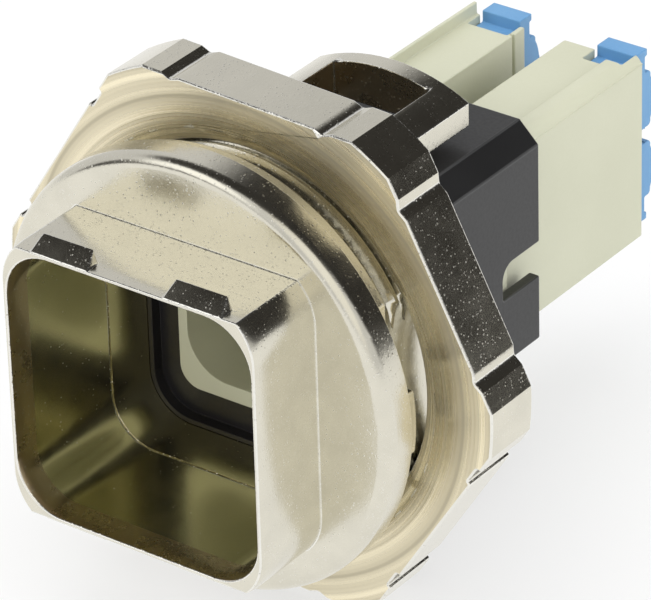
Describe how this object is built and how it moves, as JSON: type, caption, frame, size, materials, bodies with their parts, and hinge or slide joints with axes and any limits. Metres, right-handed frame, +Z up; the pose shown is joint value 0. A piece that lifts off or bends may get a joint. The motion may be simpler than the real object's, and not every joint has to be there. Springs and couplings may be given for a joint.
{
  "type": "panel-mounted power connector",
  "caption": "Panel-mounted push-pull power connector with a square metal shroud, round threaded barrel, hexagon lock nut and press-to-lock conductor entries.",
  "frame": {"origin": "on the barrel's axis, in the plane where the collar seats on the front of the panel", "axes": "+Y along the barrel from the mouth to the conductor entries, +Z up across the shroud's lugs, +X to the right seen from the mouth's side"},
  "size_m": [0.0464, 0.0606, 0.0428],
  "materials": {
    "nickel_casting": "satin nickel plate on a die casting",
    "nickel_turned": "nickel plate on a turned face, fine circular tool marks",
    "black_plastic": "smooth moulded",
    "seal_rubber": "soft matte",
    "beige_plastic": "smooth moulded",
    "contact_metal": "plated, bright",
    "sleeve_steel": "plain",
    "blue_plastic": "moulded, slightly glossy"
  },
  "bodies": {
    "connector": {"housing": "nickel_casting", "carrier": "black_plastic", "carrier_gasket": "seal_rubber", "interface_seal": "seal_rubber", "contact_holder": "beige_plastic", "insert_body": "beige_plastic", "contact_1": "contact_metal", "contact_2": "contact_metal", "contact_3": "contact_metal", "contact_4": "contact_metal"},
    "nut": {"lock_nut": "nickel_turned"},
    "press_1": {"actuator_1": "blue_plastic", "clamp_sleeve_1": "sleeve_steel"},
    "press_2": {"actuator_2": "blue_plastic", "clamp_sleeve_2": "sleeve_steel"},
    "press_3": {"actuator_3": "blue_plastic", "clamp_sleeve_3": "sleeve_steel"},
    "press_4": {"actuator_4": "blue_plastic", "clamp_sleeve_4": "sleeve_steel"}
  },
  "joints": [
    {"name": "nut_turn", "type": "hinge", "parent": "connector", "child": "nut", "pos_m": [0, 0.005, 0], "axis": [0, 1, 0], "continuous": true},
    {"name": "press_slide_1", "type": "slide", "parent": "connector", "child": "press_1", "axis": [0, -1, 0], "range_m": [0, 0.0015]},
    {"name": "press_slide_2", "type": "slide", "parent": "connector", "child": "press_2", "axis": [0, -1, 0], "range_m": [0, 0.0015]},
    {"name": "press_slide_3", "type": "slide", "parent": "connector", "child": "press_3", "axis": [0, -1, 0], "range_m": [0, 0.0015]},
    {"name": "press_slide_4", "type": "slide", "parent": "connector", "child": "press_4", "axis": [0, -1, 0], "range_m": [0, 0.0015]}
  ]
}
